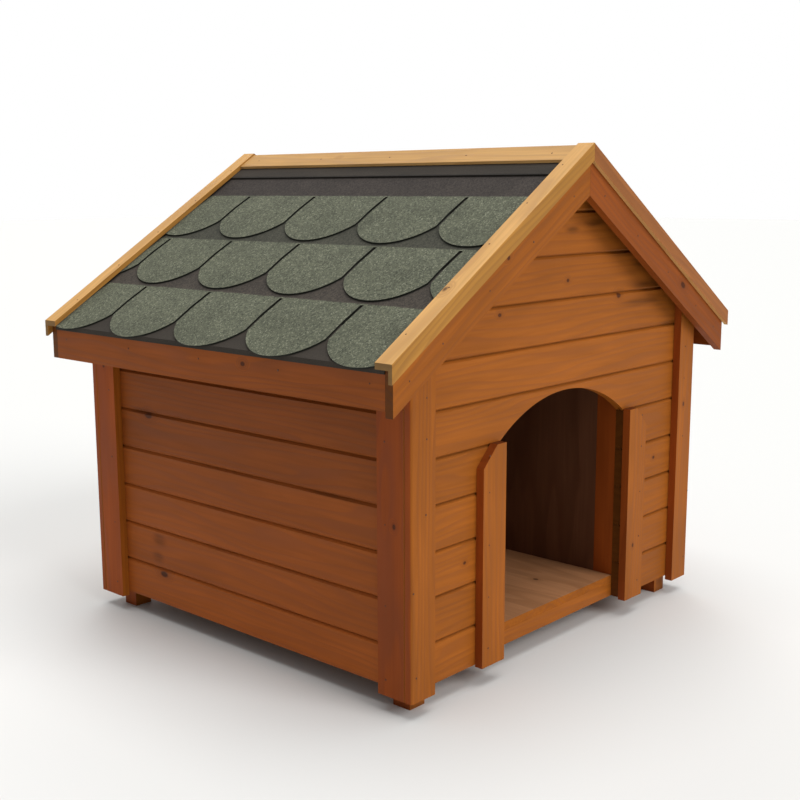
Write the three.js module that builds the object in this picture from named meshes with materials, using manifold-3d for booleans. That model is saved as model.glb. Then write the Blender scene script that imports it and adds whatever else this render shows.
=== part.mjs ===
// A gabled dog house: tongue-and-groove boards nailed to four corner posts, an arched doorway in the
// front gable, and a shingled roof that lifts off in one piece.
// Millimetres, +Z up.  The front gable faces -Y, the ground is Z = 0 and the ridge runs along Y.
import * as THREE from 'three';
import { mergeVertices } from 'three/addons/utils/BufferGeometryUtils.js';
import Module from 'manifold-3d';

// ---------------------------------------------------------------------------- driving sizes

const seat = 0.3; // gap left between two pieces that rest on or against each other

// Walls
const wallWidth = 882; // over the side boards
const wallDepth = 854; // over the front and rear boards
const wallFoot = 40; // ground to the lower edge of the walls
const boardThickness = 18;
const boardCover = 80; // height of wall that one board covers
const firstCover = 73; // the lowest board, with its grooved edge planed off
const vee = 4; // chamfer along the outer edges of a board
const tongueThickness = 4;
const tongueHeight = 5;

// Corner posts and the trims that cover the board ends
const postSize = 38;
const trimWidth = 60;
const trimThickness = 16;
const trimFoot = 31; // ground to the lower end of the corner trims
const trimRadius = 5; // rounded outer edge of the corner
const trimSeam = 1.5; // open joint between the two boards of a corner trim

// Doorway
const doorWidth = 414;
const doorBoards = 5; // boards cut by the straight part of the doorway
const archRise = 70;
const doorTrimWidth = 64;
const doorTrimThickness = 16;
const doorTrimFoot = 36;
const doorTrimInset = 2; // how far the door trims stand into the doorway
const doorTrimOverlap = 4; // how far they reach over the arch board
const doorTrimBevel = 38; // corner cut off at the outer top
const jambDepth = 44;
const jambWidth = 34;
const screenLength = 300;
const screenThickness = 14;

// Floor
const railHeight = 28;
const railDepth = 44;
const floorThickness = 16;

// Roof
const overallHeight = 955;
const pitch = THREE.MathUtils.degToRad(32.3);
const deckThickness = 12;
const roofHang = 87; // fascia face beyond the side boards
const gableGap = 26; // inner face of a bargeboard beyond the front and rear boards
const roofBoard = 16; // thickness of bargeboards and fascias
const bargeWidth = 70;
const fasciaDrop = 62; // height of a fascia at its outer face
const capHang = 11; // caps beyond the fascia face
const capThickness = 9;
const capFlange = 36; // width of the cap's upper leg
const capLegThickness = 8;
const capLegHeight = 27;
const capRound = 2;
const ridgeBoardWidth = 40;
const ridgeBoardThickness = 6;

// Roof covering
const underlayThickness = 2;
const underlayLip = 4; // felt turned down over the fascia
const shingleThickness = 3;
const courses = 3;
const tabWidth = 200;
const tabLength = 155;
const tabCurve = 58; // rise of the arc that ends a tab
const slotWidth = 8;
const courseExposure = 165;
const headLength = 110; // part of a strip above its tabs
const tabShift = 10; // slots of the middle course from the middle of the roof
const shingleHang = 11; // tabs beyond the fascia face
const ridgeFeltWidth = 78;

// Steps in a rounded stretch of an outline
const roundSteps = 8;
const archSteps = 24;
const capSteps = 3;

// ---------------------------------------------------------------------------- derived sizes

const halfWidth = wallWidth / 2;
const halfDepth = wallDepth / 2;
const innerX = halfWidth - boardThickness - seat; // outer faces of posts and rails
const innerY = halfDepth - boardThickness - seat;
const doorHalf = doorWidth / 2;
const sine = Math.sin(pitch);
const cosine = Math.cos(pitch);
const slopeFall = Math.tan(pitch);

// Heights of the layers of the roof above the deck, square to the slope
const underlayTop = seat + underlayThickness;
const lowerLayer = underlayTop + seat; // heads of the strips and the starter strip
const lowerLayerTop = lowerLayer + shingleThickness;
const upperLayer = lowerLayerTop + seat; // tabs and the felt over the ridge
const upperLayerTop = upperLayer + shingleThickness;
const capBottom = upperLayerTop + seat;
const capTop = capBottom + capThickness;
const ridgeTop = capBottom + ridgeBoardThickness;

const deckApex = overallHeight - capTop / cosine;
const fasciaX = halfWidth + roofHang;
const roofInnerY = halfDepth + gableGap; // inner faces of the bargeboards
const roofOuterY = roofInnerY + roofBoard;
const capOuterY = roofOuterY + seat + capLegThickness;
const capInnerY = capOuterY - capFlange;

// Height of a line parallel to the slope, at a level above the deck and a distance from the ridge
const slopeHeight = (x, level) => deckApex + level / cosine - Math.abs(x) * slopeFall;
const fasciaFoot = slopeHeight(fasciaX, 0) - fasciaDrop;
const underRoof = (x) => slopeHeight(x, -deckThickness) - seat / cosine;

const boardEdge = (index) => (index === 0 ? wallFoot : wallFoot + firstCover + (index - 1) * boardCover);
const boardRows = (top) => Math.round((top - boardEdge(1)) / boardCover) + 1;
const sideTop = underRoof(halfWidth);
const gableTop = underRoof(0);
const floorBottom = wallFoot + railHeight + seat;
const floorTop = floorBottom + floorThickness;
const archEdge = boardEdge(doorBoards);
const jambTop = boardEdge(doorBoards + 1);

// ---------------------------------------------------------------------------- solids

const wasm = await Module();
wasm.setup();

function toSolid(geometry) {
  const bare = geometry.clone();
  bare.deleteAttribute('normal');
  bare.deleteAttribute('uv');
  const welded = mergeVertices(bare, 1e-4);
  return new wasm.Manifold(new wasm.Mesh({
    numProp: 3,
    vertProperties: Float32Array.from(welded.attributes.position.array),
    triVerts: Uint32Array.from(welded.index.array),
  }));
}

function toGeometry(solid) {
  const mesh = solid.getMesh();
  const geometry = new THREE.BufferGeometry();
  geometry.setAttribute('position', new THREE.BufferAttribute(mesh.vertProperties, 3));
  geometry.setIndex(new THREE.BufferAttribute(mesh.triVerts, 1));
  geometry.computeVertexNormals();
  return geometry;
}

const outline = (points) => new THREE.Shape(points.map(([a, b]) => new THREE.Vector2(a, b)));
const extrusion = (shape, depth, curveSegments) =>
  new THREE.ExtrudeGeometry(shape, { depth, bevelEnabled: false, curveSegments });

function extrudeZ(shape, from, to) {
  return toSolid(extrusion(shape, to - from, roundSteps).translate(0, 0, from));
}

// The outline is drawn in X and Z
function extrudeY(shape, from, to) {
  return toSolid(extrusion(shape, to - from, archSteps).rotateX(Math.PI / 2).translate(0, to, 0));
}

// The outline is drawn in Y and Z
function extrudeX(shape, from, to) {
  const geometry = extrusion(shape, to - from, roundSteps);
  const turn = new THREE.Matrix4().makeBasis(
    new THREE.Vector3(0, 1, 0),
    new THREE.Vector3(0, 0, 1),
    new THREE.Vector3(1, 0, 0),
  );
  return toSolid(geometry.applyMatrix4(turn).translate(from, 0, 0));
}

function box(x, y, z) {
  const corners = [[x[0], y[0]], [x[1], y[0]], [x[1], y[1]], [x[0], y[1]]];
  return extrudeZ(outline(corners), z[0], z[1]);
}

// ---------------------------------------------------------------------------- materials

const finishes = {
  stainedPine: { color: 0x9b5c28, roughness: 0.55 },
  lightPine: { color: 0xd0a25f, roughness: 0.6 },
  rawPine: { color: 0xa9805a, roughness: 0.8 },
  darkPine: { color: 0x5a3420, roughness: 0.7 },
  granules: { color: 0x666b5b, roughness: 0.95 },
  felt: { color: 0x4f4642, roughness: 0.85 },
};

function piece(name, solid, finish) {
  const material = new THREE.MeshStandardMaterial({ ...finishes[finish], metalness: 0 });
  const mesh = new THREE.Mesh(toGeometry(solid), material);
  mesh.name = name;
  return mesh;
}

// ---------------------------------------------------------------------------- wall boards

// Section of the boards from one edge number to another: depth from the outer face against height.
// A single board has a groove below and a tongue above; boards joined in one piece keep their vees.
function boardSection(first, last, top = boardEdge(last)) {
  const from = boardEdge(first) + (first > 0 ? seat / 2 : 0);
  const open = top === boardEdge(last); // another board stands on this one
  const to = open ? top - seat / 2 : top;
  const tongue = (boardThickness - tongueThickness) / 2;
  const groove = tongue - seat;
  const section = [];
  if (first > 0) {
    section.push([vee, from], [groove, from], [groove, from + tongueHeight + seat]);
    section.push([boardThickness - groove, from + tongueHeight + seat], [boardThickness - groove, from]);
  } else {
    section.push([0, from]);
  }
  section.push([boardThickness, from], [boardThickness, to]);
  if (open) {
    section.push([boardThickness - tongue, to], [boardThickness - tongue, to + tongueHeight]);
    section.push([tongue, to + tongueHeight], [tongue, to], [vee, to], [0, to - vee]);
  } else {
    section.push([0, to]);
  }
  for (let edge = last - 1; edge > first; edge -= 1) {
    section.push([0, boardEdge(edge) + vee], [vee, boardEdge(edge)], [0, boardEdge(edge) - vee]);
  }
  if (first > 0) section.push([0, from + vee]);
  return section;
}

// Boards along X whose outer face looks to -Y
function gableBoards(first, last, from, to, top) {
  const section = boardSection(first, last, top).map(([depth, height]) => [depth - halfDepth, height]);
  return extrudeX(outline(section), from, to);
}

// Boards along Y whose outer face looks to -X
function sideBoards(first, last, top) {
  const section = boardSection(first, last, top).map(([depth, height]) => [depth - halfWidth, height]);
  return extrudeY(outline(section), -innerY, innerY);
}

// Everything below the underside of the roof
function underRoofSpace(reach) {
  const eaves = underRoof(reach);
  return extrudeY(outline([[-reach, 0], [reach, 0], [reach, eaves], [0, gableTop], [-reach, eaves]]),
    -capOuterY, capOuterY);
}

function doorwayCut() {
  const shape = new THREE.Shape();
  const radius = (doorHalf ** 2 + archRise ** 2) / (2 * archRise);
  const half = Math.asin(doorHalf / radius);
  shape.moveTo(-doorHalf, 0);
  shape.lineTo(doorHalf, 0);
  shape.lineTo(doorHalf, archEdge);
  shape.absarc(0, archEdge + archRise - radius, radius, Math.PI / 2 - half, Math.PI / 2 + half, false);
  return extrudeY(shape, -halfDepth - boardThickness, -innerY);
}

function frontWall() {
  const group = new THREE.Group();
  const cut = doorwayCut();
  const space = underRoofSpace(halfWidth);
  for (let board = 0; board < doorBoards; board += 1) {
    const left = gableBoards(board, board + 1, -halfWidth, -doorHalf);
    const right = gableBoards(board, board + 1, doorHalf, halfWidth);
    group.add(piece(`front_board_left_${board + 1}`, left, 'stainedPine'));
    group.add(piece(`front_board_right_${board + 1}`, right, 'stainedPine'));
  }
  const arch = gableBoards(doorBoards, doorBoards + 1, -halfWidth, halfWidth).subtract(cut);
  group.add(piece('front_arch_board', arch.intersect(space), 'stainedPine'));
  const rows = boardRows(gableTop);
  for (let board = doorBoards + 1; board < rows - 2; board += 1) {
    const solid = gableBoards(board, board + 1, -halfWidth, halfWidth).intersect(space);
    group.add(piece(`gable_board_${board + 1}`, solid, 'stainedPine'));
  }
  const peak = gableBoards(rows - 2, rows, -halfWidth, halfWidth, gableTop).intersect(space);
  group.add(piece('gable_peak_board', peak, 'stainedPine'));
  return group;
}

function rearWall() {
  const group = new THREE.Group();
  const boards = gableBoards(0, boardRows(gableTop), -halfWidth, halfWidth, gableTop);
  const wall = boards.intersect(underRoofSpace(halfWidth));
  group.add(piece('rear_wall', wall, 'stainedPine'));
  group.rotation.z = Math.PI;
  return group;
}

function sideWalls() {
  const rows = boardRows(sideTop);
  const left = new THREE.Group();
  for (let board = 0; board < doorBoards; board += 1) {
    left.add(piece(`left_wall_board_${board + 1}`, sideBoards(board, board + 1), 'stainedPine'));
  }
  left.add(piece('left_wall_top_boards', sideBoards(doorBoards, rows, sideTop), 'stainedPine'));
  const right = new THREE.Group();
  right.add(piece('right_wall', sideBoards(0, rows, sideTop), 'stainedPine'));
  right.rotation.z = Math.PI;
  return [left, right];
}

// ---------------------------------------------------------------------------- frame and floor

// Two boards nailed at a right angle, one of them across the edge of the other
function cornerTrim(sideways) {
  const outerX = halfWidth + seat + trimThickness;
  const outerY = halfDepth + seat + trimThickness;
  const jointY = -halfDepth - seat;
  const shape = new THREE.Shape();
  shape.moveTo(-outerX + trimRadius, -outerY);
  shape.lineTo(-outerX + trimWidth, -outerY);
  shape.lineTo(-outerX + trimWidth, jointY);
  shape.lineTo(-halfWidth - seat, jointY);
  shape.lineTo(-halfWidth - seat, jointY + trimWidth);
  shape.lineTo(-outerX, jointY + trimWidth);
  shape.lineTo(-outerX, jointY + trimSeam);
  shape.lineTo(-outerX + trimSeam, jointY);
  shape.lineTo(-outerX, jointY - trimSeam);
  shape.lineTo(-outerX, -outerY + trimRadius);
  shape.absarc(-outerX + trimRadius, -outerY + trimRadius, trimRadius, Math.PI, 1.5 * Math.PI, false);
  const trim = extrudeZ(shape, trimFoot, gableTop).intersect(underRoofSpace(outerX + seat));
  return sideways ? trim.mirror([1, 0, 0]) : trim;
}

function corners() {
  const groups = [];
  for (const end of ['front', 'rear']) {
    const group = new THREE.Group();
    for (const mirrored of [false, true]) {
      const sign = mirrored ? 1 : -1;
      const side = (end === 'front') === mirrored ? 'right' : 'left';
      const faces = [sign * innerX, sign * (innerX - postSize)].sort((a, b) => a - b);
      const post = box(faces, [-innerY, -innerY + postSize], [0, sideTop]);
      group.add(piece(`corner_post_${end}_${side}`, post, 'stainedPine'));
      group.add(piece(`corner_trim_${end}_${side}`, cornerTrim(mirrored), 'stainedPine'));
    }
    group.rotation.z = end === 'front' ? 0 : Math.PI;
    groups.push(group);
  }
  return groups;
}

function doorFrame() {
  const group = new THREE.Group();
  const inner = doorHalf - doorTrimInset;
  const outer = inner + doorTrimWidth;
  const top = archEdge + doorTrimOverlap;
  for (const [side, sign] of [['left', -1], ['right', 1]]) {
    const trim = outline([
      [sign * inner, doorTrimFoot],
      [sign * outer, doorTrimFoot],
      [sign * outer, top - doorTrimBevel],
      [sign * (outer - doorTrimBevel), top],
      [sign * inner, top],
    ]);
    const face = -halfDepth - seat;
    group.add(piece(`door_trim_${side}`, extrudeY(trim, face - doorTrimThickness, face), 'stainedPine'));
    const reach = [sign * doorHalf, sign * (doorHalf + jambWidth)].sort((a, b) => a - b);
    const jamb = box(reach, [-innerY, -innerY + jambDepth], [floorTop + seat, jambTop]);
    group.add(piece(`door_jamb_${side}`, jamb, 'stainedPine'));
  }
  const screenY = -innerY + jambDepth + seat;
  const screen = box([doorHalf, doorHalf + screenThickness], [screenY, screenY + screenLength],
    [floorTop + seat, jambTop]);
  group.add(piece('draught_screen', screen, 'darkPine'));
  return group;
}

function floor() {
  const group = new THREE.Group();
  const notch = postSize + seat;
  const postX = innerX - notch;
  const postY = innerY - notch;
  const corner = (x, y) => [[x * innerX, y * postY], [x * postX, y * postY], [x * postX, y * innerY]];
  const panel = outline([
    ...corner(1, 1),
    ...corner(-1, 1).reverse(),
    ...corner(-1, -1),
    ...corner(1, -1).reverse(),
  ]);
  group.add(piece('floor_panel', extrudeZ(panel, floorBottom, floorTop), 'rawPine'));
  for (const [end, sign] of [['front', -1], ['rear', 1]]) {
    const faces = [sign * innerY, sign * (innerY - railDepth)].sort((a, b) => a - b);
    const rail = box([-postX, postX], faces, [wallFoot, wallFoot + railHeight]);
    group.add(piece(`floor_rail_${end}`, rail, 'stainedPine'));
  }
  return group;
}

// ---------------------------------------------------------------------------- roof

// A point of the left slope: distance down the slope from the ridge, level above the deck
const slopePoint = (down, level) => [
  -(down * cosine + level * sine),
  deckApex - down * sine + level * cosine,
];
const plumbPoint = (x, level) => [-x, slopeHeight(x, level)];
const mirrored = (points) => points.map(([x, z]) => [-x, z]).reverse();

const coverY = roofInnerY - seat; // ends of the deck and its covering
const eavesLine = fasciaX + seat + underlayThickness;
const tipDown = (fasciaX + shingleHang - upperLayer * sine) / cosine; // tips of the lowest course
const rampGap = 4; // from a tab's tip to where the strip below it starts to rise
const courseTip = (course) => tipDown - (courses - 1 - course) * courseExposure;
const courseHead = (course) => courseTip(course) - tabLength - headLength;
const starterTop = courseHead(courses - 1) + courseExposure;

function roofDeck() {
  const edge = fasciaX - roofBoard - seat;
  const half = [plumbPoint(edge, 0), plumbPoint(edge, -deckThickness)];
  const section = [plumbPoint(0, 0), ...half, plumbPoint(0, -deckThickness), ...mirrored(half)];
  return piece('roof_deck', extrudeY(outline(section), -coverY, coverY), 'rawPine');
}

// Felt over the deck, thicker under the lowest course and turned down over the fascias
function underlay() {
  const lipFoot = slopeHeight(fasciaX, 0) - underlayLip;
  const half = [
    slopePoint(starterTop, underlayTop),
    slopePoint(starterTop, lowerLayerTop),
    plumbPoint(eavesLine, lowerLayerTop),
    [-eavesLine, lipFoot],
    [-fasciaX - seat, lipFoot],
    plumbPoint(fasciaX + seat, seat),
  ];
  const section = [plumbPoint(0, underlayTop), ...half, plumbPoint(0, seat), ...mirrored(half)];
  return piece('roof_underlay', extrudeY(outline(section), -coverY, coverY), 'felt');
}

function ridgeFelt() {
  const half = [slopePoint(ridgeFeltWidth, upperLayerTop), slopePoint(ridgeFeltWidth, upperLayer)];
  const section = [plumbPoint(0, upperLayerTop), ...half, plumbPoint(0, upperLayer), ...mirrored(half)];
  return piece('ridge_felt', extrudeY(outline(section), -coverY, coverY), 'felt');
}

// Lays a solid drawn with X along the ridge, Y down the slope and Z square to it on the left slope
function layOnSlope(solid) {
  const frame = new THREE.Matrix4().makeBasis(
    new THREE.Vector3(0, 1, 0),
    new THREE.Vector3(-cosine, 0, -sine),
    new THREE.Vector3(-sine, 0, cosine),
  );
  frame.setPosition(0, 0, deckApex);
  return solid.transform(frame.elements);
}

// One strip of shingles: rounded tabs parted by slots, rising from the lower layer to the upper one
function shingleStrip(course) {
  const tip = courseTip(course);
  const head = courseHead(course);
  const slotTop = tip - tabLength;
  const curveTop = tip - tabCurve;
  const shift = tabShift + (course % 2 === 0 ? tabWidth / 2 : 0);
  const tabs = Math.ceil(coverY / tabWidth) + 1;
  const half = (tabWidth - slotWidth) / 2;
  const radius = (half ** 2 + tabCurve ** 2) / (2 * tabCurve);
  const corner = Math.asin((radius - tabCurve) / radius); // where the arc meets the side of the tab
  const shape = new THREE.Shape();
  shape.moveTo(shift + tabs * tabWidth, head);
  shape.lineTo(shift - tabs * tabWidth, head);
  for (let tab = -tabs; tab < tabs; tab += 1) {
    const middle = shift + (tab + 0.5) * tabWidth;
    shape.lineTo(middle - half, slotTop);
    shape.lineTo(middle - half, curveTop);
    shape.absarc(middle, tip - radius, radius, Math.PI - corner, corner, true);
    shape.lineTo(middle + half, slotTop);
  }
  const plan = extrudeZ(shape, 0, capTop);

  const riseStart = tip - courseExposure + rampGap;
  const riseEnd = courseHead(course) + courseExposure - rampGap;
  const section = outline([
    [head, lowerLayer],
    [riseStart, lowerLayer],
    [riseEnd, upperLayer],
    [tip + slotWidth, upperLayer],
    [tip + slotWidth, upperLayerTop],
    [riseEnd, upperLayerTop],
    [riseStart, lowerLayerTop],
    [head, lowerLayerTop],
  ]);
  return layOnSlope(plan.intersect(extrudeX(section, -coverY, coverY)));
}

// An angle moulding down the slope, cut plumb at the ridge and at its lower end
function edgeCap(end) {
  const drop = capTop - capLegHeight;
  const shape = new THREE.Shape();
  shape.moveTo(end * capInnerY, capBottom);
  shape.lineTo(end * (roofOuterY + seat), capBottom);
  shape.lineTo(end * (roofOuterY + seat), drop);
  shape.lineTo(end * capOuterY, drop);
  shape.lineTo(end * capOuterY, capTop - capRound);
  shape.quadraticCurveTo(end * capOuterY, capTop, end * (capOuterY - capRound), capTop);
  shape.lineTo(end * capInnerY, capTop);
  const length = (fasciaX + capHang) / cosine;
  const geometry = extrusion(shape, 1.5 * length, capSteps);
  // drawn along the ridge and square to the slope, swept up the slope
  const turn = new THREE.Matrix4().makeBasis(
    new THREE.Vector3(1, 0, 0),
    new THREE.Vector3(0, 0, 1),
    new THREE.Vector3(0, -1, 0),
  );
  geometry.applyMatrix4(turn).translate(0, 1.2 * length, 0);
  const reach = 2 * capOuterY;
  const plumbCuts = box([-fasciaX - capHang, -seat / 2], [-reach, reach], [0, 2 * overallHeight]);
  return layOnSlope(toSolid(geometry)).intersect(plumbCuts);
}

// The tips of the rear bargeboards are cut off level with the foot of the fascias
function bargeboard(end, tipped) {
  const top = upperLayerTop;
  const bottom = top - bargeWidth;
  const section = outline([
    plumbPoint(seat / 2, top),
    plumbPoint(fasciaX, top),
    plumbPoint(fasciaX, bottom),
    plumbPoint(seat / 2, bottom),
  ]);
  const faces = [end * roofInnerY, end * roofOuterY].sort((a, b) => a - b);
  const board = extrudeY(section, faces[0], faces[1]);
  return tipped ? board : board.intersect(box([-2 * fasciaX, 0], faces, [fasciaFoot, 2 * overallHeight]));
}

function fascia() {
  const inner = fasciaX - roofBoard;
  const top = [plumbPoint(inner, 0), plumbPoint(fasciaX, 0)];
  const section = outline([[-fasciaX, fasciaFoot], [-inner, fasciaFoot], ...top]);
  return extrudeY(section, -coverY, coverY);
}

function ridgeBoard() {
  const reach = capInnerY - seat;
  const section = outline([
    plumbPoint(seat / 2, ridgeTop),
    slopePoint(ridgeBoardWidth, ridgeTop),
    slopePoint(ridgeBoardWidth, capBottom),
    plumbPoint(seat / 2, capBottom),
  ]);
  return extrudeY(section, -reach, reach);
}

// Both slopes are alike: the right one is the left one turned half round
function slope(side) {
  const group = new THREE.Group();
  group.add(piece(`fascia_${side}`, fascia(), 'stainedPine'));
  group.add(piece(`ridge_board_${side}`, ridgeBoard(), 'lightPine'));
  for (let course = 0; course < courses; course += 1) {
    group.add(piece(`shingle_strip_${side}_${course + 1}`, shingleStrip(course), 'granules'));
  }
  for (const end of [-1, 1]) {
    const front = (end === -1) === (side === 'left');
    const place = `${front ? 'front' : 'rear'}_${side}`;
    group.add(piece(`bargeboard_${place}`, bargeboard(end, front), 'stainedPine'));
    group.add(piece(`edge_cap_${place}`, edgeCap(end), 'lightPine'));
  }
  group.rotation.z = side === 'left' ? 0 : Math.PI;
  return group;
}

// ---------------------------------------------------------------------------- assembly

const dogHouse = new THREE.Group();
dogHouse.add(frontWall(), rearWall(), ...sideWalls(), ...corners(), doorFrame(), floor());

const roof = new THREE.Group();
roof.add(roofDeck(), underlay(), ridgeFelt(), slope('left'), slope('right'));
dogHouse.add(roof);

export default dogHouse;
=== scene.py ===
# %% [markdown]
# # A dog house of stained pine boards
# The real house is nailed together from planed pine: tongue-and-groove boards on four corner posts, with
# a felt-and-shingle roof that lifts off. Its shapes are already exact in the CAD model, so this lesson
# leaves them alone and gives them what a drawing can't: grain, knots, stain, granules, felt and nails.

# %% Load the house
import math

import bpy
from mathutils import Euler, Matrix, Vector


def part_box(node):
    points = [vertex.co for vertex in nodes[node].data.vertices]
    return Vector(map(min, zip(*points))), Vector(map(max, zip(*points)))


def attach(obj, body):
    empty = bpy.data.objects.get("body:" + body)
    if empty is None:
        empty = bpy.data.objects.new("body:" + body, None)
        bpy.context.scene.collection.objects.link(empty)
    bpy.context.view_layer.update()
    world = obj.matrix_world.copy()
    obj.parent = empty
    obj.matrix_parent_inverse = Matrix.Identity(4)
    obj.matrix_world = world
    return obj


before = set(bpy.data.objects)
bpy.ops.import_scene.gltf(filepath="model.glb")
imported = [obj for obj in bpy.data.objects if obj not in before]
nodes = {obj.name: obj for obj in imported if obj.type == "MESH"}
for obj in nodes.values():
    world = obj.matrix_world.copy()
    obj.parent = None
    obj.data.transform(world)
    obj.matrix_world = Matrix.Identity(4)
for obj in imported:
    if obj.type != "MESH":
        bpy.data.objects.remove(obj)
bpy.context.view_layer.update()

# %% [markdown]
# ## Sizes the finishes follow
# A board's stain pools in its joints and a shingle's granules stop at its slots, so the finishes need to
# know where those are. The values below are the house's own sizes in metres. Everything that can be read
# off the model is read off it.

# %% Sizes in metres
BOARD = 0.080                     # height of wall that one board covers
FIRST_JOINT = 0.113               # height of the lowest board joint
PITCH = math.radians(32.3)        # slope of the roof
WALL_Y = -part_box("gable_board_7")[0].y
TRIM_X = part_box("corner_trim_front_right")[1].x
TRIM_Y = -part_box("corner_trim_front_left")[0].y
BARGE_Y = -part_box("bargeboard_front_left")[0].y
DECK_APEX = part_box("roof_deck")[1].z
print("deck apex", round(DECK_APEX, 4), "wall", round(WALL_Y, 4), "trims", round(TRIM_X, 4),
      round(TRIM_Y, 4))

# %% [markdown]
# ## Two helpers
# Paint and timber colours are quoted as sRGB hex values, as a colour picker shows them, while shaders add
# up light in linear values. One function turns the one into the other. The second adds a node to a tree
# with its settings and links in one go, which keeps the recipes below short enough to read.

# %% Colour and node helpers
def linear(hex_value):
    channels = [int(hex_value[i:i + 2], 16) / 255 for i in (1, 3, 5)]
    return tuple(c / 12.92 if c <= 0.04045 else ((c + 0.055) / 1.055) ** 2.4 for c in channels) + (1.0,)


def add(tree, kind, settings=None, links=None):
    """A node of that kind. links gives each input a socket to read or a value to hold."""
    made = tree.nodes.new(kind)
    for key, value in (settings or {}).items():
        setattr(made, key, value)
    for key, value in (links or {}).items():
        if isinstance(value, bpy.types.NodeSocket):
            tree.links.new(value, made.inputs[key])
        else:
            made.inputs[key].default_value = value
    return made


print("honey pine", [round(v, 3) for v in linear("#9A5618")])

# %% [markdown]
# ## Pine
# Pine shows its year rings as lines along the board: pale, soft earlywood and thin, dark, hard latewood.
# Where the saw cut nearly along a ring the lines open into long loops, and they part around each knot.
# Contour lines of a noise that is stretched along the board behave the same way, so they are used here
# instead of true rings.
#
# A knot is where a branch grew: dark, soft at its rim, with a slightly paler heart. Knots and the smudges
# that planing left are few, so they are listed one by one, as (x, y, z, length along the grain, width) in
# metres. The smudges on the front gable lie just under its right bargeboard and are partly painted shadow.

# %% Where the knots and smudges are
KNOTS_FRONT = [
    (0.175, -0.427, 0.668, 0.0075, 0.0058), (-0.208, -0.427, 0.659, 0.0050, 0.0036),
    (-0.002, -0.427, 0.707, 0.0045, 0.0035), (-0.300, -0.427, 0.236, 0.0040, 0.0030),
    (0.330, -0.427, 0.316, 0.0045, 0.0034), (-0.310, 0.427, 0.150, 0.0080, 0.0060),
    (0.120, 0.427, 0.235, 0.0060, 0.0048), (-0.060, 0.427, 0.400, 0.0090, 0.0065),
    (0.290, 0.427, 0.478, 0.0070, 0.0052), (-0.215, 0.427, 0.560, 0.0060, 0.0045),
    (0.060, 0.427, 0.722, 0.0080, 0.0060),
]
KNOTS_SIDE = [
    (-0.441, 0.276, 0.428, 0.0110, 0.0065), (-0.441, 0.243, 0.103, 0.0120, 0.0060),
    (0.441, -0.220, 0.160, 0.0080, 0.0060), (0.441, 0.130, 0.240, 0.0060, 0.0045),
    (0.441, -0.060, 0.392, 0.0090, 0.0066), (0.441, 0.300, 0.470, 0.0070, 0.0052),
    (0.441, -0.310, 0.560, 0.0060, 0.0045),
]
KNOTS_UPRIGHT = [
    (-0.457, -0.405, 0.330, 0.0050, 0.0036), (0.420, -0.4433, 0.420, 0.0050, 0.0036),
    (0.230, -0.4433, 0.150, 0.0045, 0.0034), (-0.457, 0.400, 0.520, 0.0050, 0.0036),
    (0.457, -0.400, 0.230, 0.0055, 0.0040), (0.420, 0.4433, 0.360, 0.0060, 0.0042),
]
KNOTS_SLOPE = [
    (-0.376, -0.446, 0.713, 0.0085, 0.0055), (0.352, -0.469, 0.679, 0.0100, 0.0060),
    (-0.240, -0.469, 0.760, 0.0045, 0.0035), (-0.300, 0.469, 0.720, 0.0070, 0.0050),
    (0.210, 0.469, 0.780, 0.0080, 0.0055), (0.180, -0.446, 0.842, 0.0050, 0.0036),
]
KNOTS_LEVEL = [
    (-0.528, -0.120, 0.580, 0.0060, 0.0042), (0.528, 0.180, 0.575, 0.0070, 0.0050),
    (-0.020, 0.150, 0.944, 0.0050, 0.0034), (0.080, -0.308, 0.0843, 0.0060, 0.0045),
]
# partly planing smudges, partly the right bargeboard's painted shadow on the gable just below it
SMUDGES_AND_SHADOW_FRONT = [
    (0.069, -0.427, 0.838, 0.026, 0.013), (0.010, -0.427, 0.799, 0.030, 0.009),
    (0.085, -0.427, 0.812, 0.045, 0.012), (0.195, -0.427, 0.752, 0.080, 0.012),
    (0.270, -0.427, 0.729, 0.070, 0.018), (0.300, -0.427, 0.684, 0.110, 0.014),
    (0.260, -0.427, 0.650, 0.100, 0.012), (0.370, -0.427, 0.597, 0.050, 0.008),
]
SMUDGES_SIDE = [
    (-0.441, 0.290, 0.434, 0.060, 0.010), (-0.441, 0.255, 0.172, 0.030, 0.018),
    (-0.441, 0.262, 0.135, 0.026, 0.016), (-0.441, -0.260, 0.352, 0.120, 0.006),
]
print("knots", sum(len(k) for k in (KNOTS_FRONT, KNOTS_SIDE, KNOTS_UPRIGHT, KNOTS_SLOPE, KNOTS_LEVEL)))

# %% [markdown]
# ### Knots
# A point's distance from a knot is counted in that knot's own size, so that one range of distances gives
# every knot its rim, whether it is 3 mm wide or 6 mm. The knots lie along the grain, which the Mapping
# node of each finish has already turned to run along X.

# %% Distance to the nearest spot
FAR_OFF = 9.0                     # in spot sizes, where there are no spots at all


def nearest(tree, turned, turn, spots):
    """How far off the nearest spot is, counted in that spot's own size: 1 is on its outline."""
    least = None
    for x, y, z, along, across in spots:
        middle = Euler(turn).to_matrix() @ Vector((x, y, z))
        shrink = (1 / along, 1 / across, 1 / across)
        back = tuple(-m * s for m, s in zip(middle, shrink))
        off = add(tree, "ShaderNodeVectorMath", {"operation": "MULTIPLY_ADD"},
                  {0: turned, 1: shrink, 2: back})
        far = add(tree, "ShaderNodeVectorMath", {"operation": "LENGTH"},
                  {0: off.outputs[0]}).outputs["Value"]
        if least is not None:
            far = add(tree, "ShaderNodeMath", {"operation": "MINIMUM"}, {0: least, 1: far}).outputs[0]
        least = far
    return least if least is not None else FAR_OFF


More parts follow.
